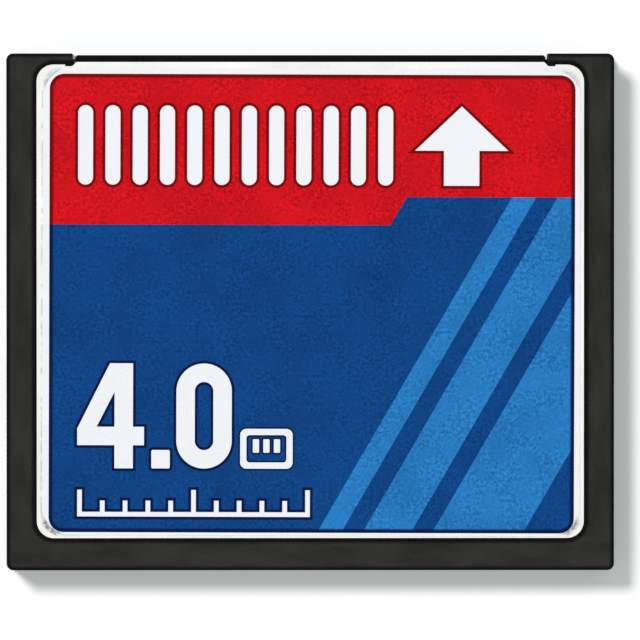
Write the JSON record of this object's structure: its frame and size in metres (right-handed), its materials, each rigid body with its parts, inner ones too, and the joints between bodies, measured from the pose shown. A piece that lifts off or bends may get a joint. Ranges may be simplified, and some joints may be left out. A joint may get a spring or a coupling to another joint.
{
  "type": "compact flash memory card",
  "caption": "Flat removable memory card: charcoal frame with side guide grooves, steel covers, printed label and a two-row socket header in its front edge.",
  "frame": {"origin": "middle of the card's outline, on the underside of the frame", "axes": "+X across the card, +Y out of the connector end, +Z out of the labelled face"},
  "size_m": [0.0428, 0.0364, 0.0033],
  "materials": {
    "frame_plastic": "fine matt moulded, charcoal",
    "cover_steel": "bright rolled sheet",
    "cover_adhesive": "thin clear bond",
    "insulating_film": "amber film",
    "label_film": "white satin film",
    "red_ink": "satin print",
    "light_blue_ink": "satin print",
    "dark_blue_ink": "satin print",
    "connector_plastic": "matt moulded, black",
    "contact_metal": "gold plated copper alloy",
    "board_laminate": "green solder mask",
    "solder_metal": "tinned",
    "chip_plastic": "matt moulded",
    "ceramic": "fired ceramic",
    "resistor_coat": "glazed",
    "lid_metal": "plated lid"
  },
  "bodies": {
    "root": {"frame": "frame_plastic", "top_cover": "cover_steel", "bottom_cover": "cover_steel", "top_cover_adhesive": "cover_adhesive", "bottom_cover_adhesive": "cover_adhesive", "top_insulator": "insulating_film", "bottom_insulator": "insulating_film", "label_film": "label_film", "red_print": "red_ink", "light_blue_print": "light_blue_ink", "dark_blue_print": "dark_blue_ink", "connector_housing": "connector_plastic", "upper_contacts": "contact_metal", "lower_contacts": "contact_metal", "circuit_board": "board_laminate", "top_solder_pads": "solder_metal", "bottom_solder_pads": "solder_metal", "controller_chip": "chip_plastic", "controller_leads": "solder_metal", "upper_flash_chip": "chip_plastic", "upper_flash_leads": "solder_metal", "lower_flash_chip": "chip_plastic", "lower_flash_leads": "solder_metal", "voltage_regulator": "chip_plastic", "regulator_leads": "solder_metal", "crystal_base": "ceramic", "crystal_lid": "lid_metal", "capacitors": "ceramic", "capacitor_ends": "solder_metal", "resistors": "resistor_coat", "resistor_ends": "solder_metal"}
  },
  "joints": []
}
